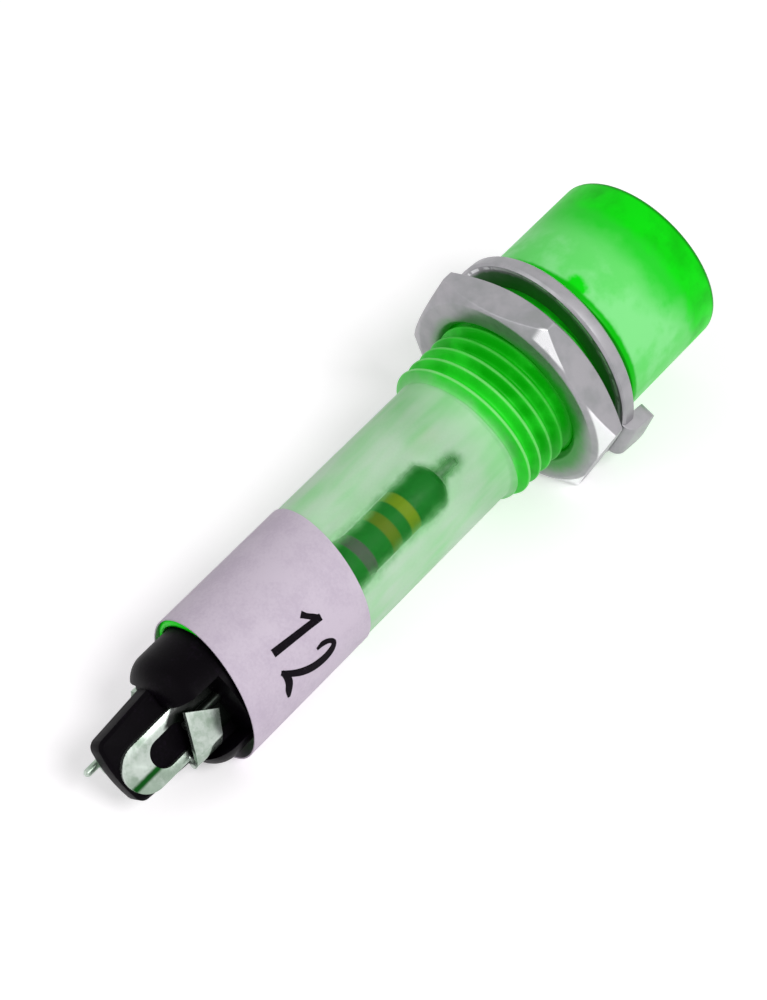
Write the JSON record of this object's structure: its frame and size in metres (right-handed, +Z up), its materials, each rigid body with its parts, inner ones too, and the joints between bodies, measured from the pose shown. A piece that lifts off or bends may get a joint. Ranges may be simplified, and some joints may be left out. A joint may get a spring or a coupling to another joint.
{
  "type": "panel pilot light",
  "caption": "Small green panel pilot light: round lens head, threaded barrel with nut and tab washer, tube and a base with solder terminals.",
  "frame": {"origin": "on the lamp's axis, at the rear face of the head that seats on the panel", "axes": "+Y along the axis from the lens to the terminals, +Z up with the lamp lying on its side"},
  "size_m": [0.016, 0.0477, 0.0141],
  "materials": {
    "green_lens": "translucent green moulding, frosted inside",
    "nut_plating": "bright plated",
    "washer_plating": "bright plated",
    "label_film": "satin film",
    "black_base": "satin moulding",
    "tinned_brass": "tinned sheet",
    "lamp_resin": "diffused green resin",
    "tinned_wire": "tinned",
    "resistor_coat": "lacquer with colour bands",
    "solder": "dull solder",
    "sleeve_plastic": "soft sleeving"
  },
  "bodies": {
    "lamp": {"lens_housing": "green_lens", "rating_label": "label_film", "base_plug": "black_base", "live_terminal": "tinned_brass", "return_terminal": "tinned_brass", "led_lamp": "lamp_resin", "live_lead": "tinned_wire", "return_lead": "tinned_wire", "resistor_body": "resistor_coat", "resistor_front_wire": "tinned_wire", "resistor_rear_wire": "tinned_wire", "wire_joint": "solder", "lead_sleeve": "sleeve_plastic"},
    "nut": {"hex_nut": "nut_plating"},
    "washer": {"tab_washer": "washer_plating"}
  },
  "joints": [
    {"name": "nut_travel", "type": "slide", "parent": "lamp", "child": "nut", "axis": [0, 1, 0], "range_m": [0, 0.0069]},
    {"name": "washer_turn", "type": "hinge", "parent": "lamp", "child": "washer", "pos_m": [0, 0.00125, 0], "axis": [0, 1, 0], "continuous": true}
  ]
}
